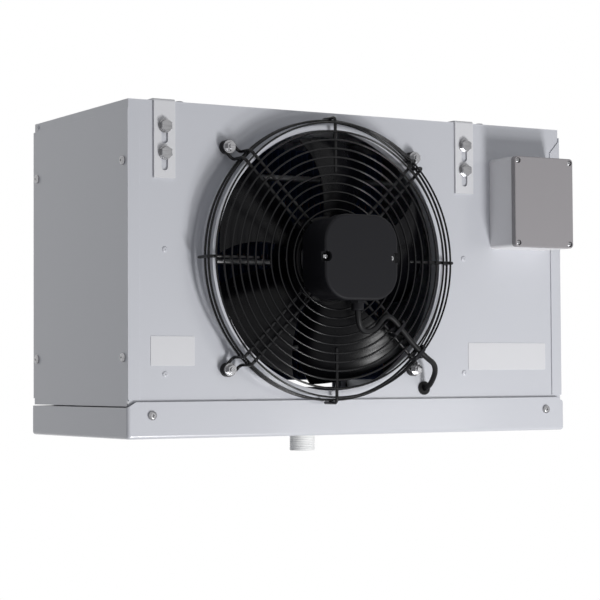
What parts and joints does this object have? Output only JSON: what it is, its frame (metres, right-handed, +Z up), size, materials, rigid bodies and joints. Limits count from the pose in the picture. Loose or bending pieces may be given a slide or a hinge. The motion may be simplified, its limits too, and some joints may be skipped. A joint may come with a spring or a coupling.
{
  "type": "unit cooler",
  "caption": "Ceiling-hung walk-in unit cooler with a guarded axial fan, rear coil, junction box and a hinged drip tray that drains downwards.",
  "frame": {"origin": "centre of the four ceiling bolt holes, on the upper face of the hanger feet; the fan's axis is at x = 0", "axes": "+X to the right seen from the air outlet, -Y out of the air outlet, +Z up"},
  "size_m": [0.6446, 0.399, 0.4265],
  "materials": {
    "panel_white": "light grey-white powder coat, faint orange peel",
    "galvanised": "plain galvanised sheet",
    "zinc": "bright zinc-plated fasteners",
    "aluminium": "bare aluminium",
    "copper": "bare copper tube, slightly dulled",
    "brass": "machined brass",
    "steel": "machined or drawn steel",
    "black_wire": "black powder-coated wire",
    "black_metal": "glossy black painted steel",
    "black_plastic": "black moulded plastic",
    "black_rubber": "black rubber",
    "grey_plastic": "light warm-grey moulded plastic",
    "white_plastic": "white moulded plastic",
    "plate": "blank plate, satin"
  },
  "bodies": {
    "cooler": {"front_panel": "panel_white", "roof_panel": "panel_white", "rear_panel": "panel_white", "tube_sheet_left": "galvanised", "tube_sheet_right": "galvanised", "coil_fins": "aluminium", "coil_tubes": "copper", "return_bends": "copper", "suction_header": "copper", "liquid_distributor": "brass", "liquid_line": "copper", "supply_gland": "black_plastic", "defrost_heaters": "steel", "casing_rivets": "aluminium", "blank_plates": "plate", "hinge_casing_leaves": "galvanised", "hinge_pins": "galvanised", "hanger_bolts": "zinc", "hanger_washers": "zinc", "guard_face_rings": "black_wire", "guard_rim_rings": "black_wire", "guard_spokes": "black_wire", "guard_stays": "black_wire", "guard_bushes": "black_rubber", "guard_nuts": "zinc", "guard_studs": "zinc", "motor_flange": "aluminium", "stator_core": "steel", "motor_bearings": "steel", "terminal_base": "black_plastic", "terminal_cover": "black_plastic", "terminal_cover_screws": "zinc", "motor_screws": "zinc", "motor_gland": "black_plastic", "motor_cable": "black_rubber", "cable_ties": "black_plastic", "panel_grommet": "black_rubber", "junction_box_base": "grey_plastic", "lid_gasket": "black_rubber", "terminal_block": "white_plastic"},
    "left_end": {"left_side_panel": "panel_white", "left_panel_screws": "zinc"},
    "right_end": {"right_side_panel": "panel_white", "right_panel_screws": "zinc"},
    "tray": {"drip_tray": "panel_white", "inner_drip_pan": "aluminium", "drain_spigot": "white_plastic", "drain_locknut": "white_plastic", "tray_screws": "zinc", "hinge_tray_leaves": "galvanised"},
    "hanger_fl": {"hanger_front_left": "galvanised"},
    "hanger_fr": {"hanger_front_right": "galvanised"},
    "hanger_rl": {"hanger_rear_left": "galvanised"},
    "hanger_rr": {"hanger_rear_right": "galvanised"},
    "fan": {"rotor_can": "black_metal", "rotor_shaft": "steel", "hub_ring": "black_metal", "fan_blades": "black_metal"},
    "box_lid": {"junction_box_lid": "grey_plastic", "lid_screws": "zinc"}
  },
  "joints": [
    {"name": "fan_spin", "type": "hinge", "parent": "cooler", "child": "fan", "pos_m": [0, -0.138, -0.1875], "axis": [0, -1, 0], "continuous": true},
    {"name": "tray_hinge", "type": "hinge", "parent": "cooler", "child": "tray", "pos_m": [0, 0.145, -0.362], "axis": [1, 0, 0], "range_deg": [0, 65]},
    {"name": "left_panel_pull", "type": "slide", "parent": "cooler", "child": "left_end", "axis": [-1, 0, 0], "range_m": [0, 0.08]},
    {"name": "right_panel_pull", "type": "slide", "parent": "cooler", "child": "right_end", "axis": [1, 0, 0], "range_m": [0, 0.08]},
    {"name": "box_lid_pull", "type": "slide", "parent": "cooler", "child": "box_lid", "axis": [0, -1, 0], "range_m": [0, 0.05]},
    {"name": "hanger_fl_slide", "type": "slide", "parent": "cooler", "child": "hanger_fl", "axis": [0, 0, 1], "range_m": [0, 0.016]},
    {"name": "hanger_fr_slide", "type": "slide", "parent": "cooler", "child": "hanger_fr", "axis": [0, 0, 1], "range_m": [0, 0.016]},
    {"name": "hanger_rl_slide", "type": "slide", "parent": "cooler", "child": "hanger_rl", "axis": [0, 0, 1], "range_m": [0, 0.016]},
    {"name": "hanger_rr_slide", "type": "slide", "parent": "cooler", "child": "hanger_rr", "axis": [0, 0, 1], "range_m": [0, 0.016]}
  ]
}
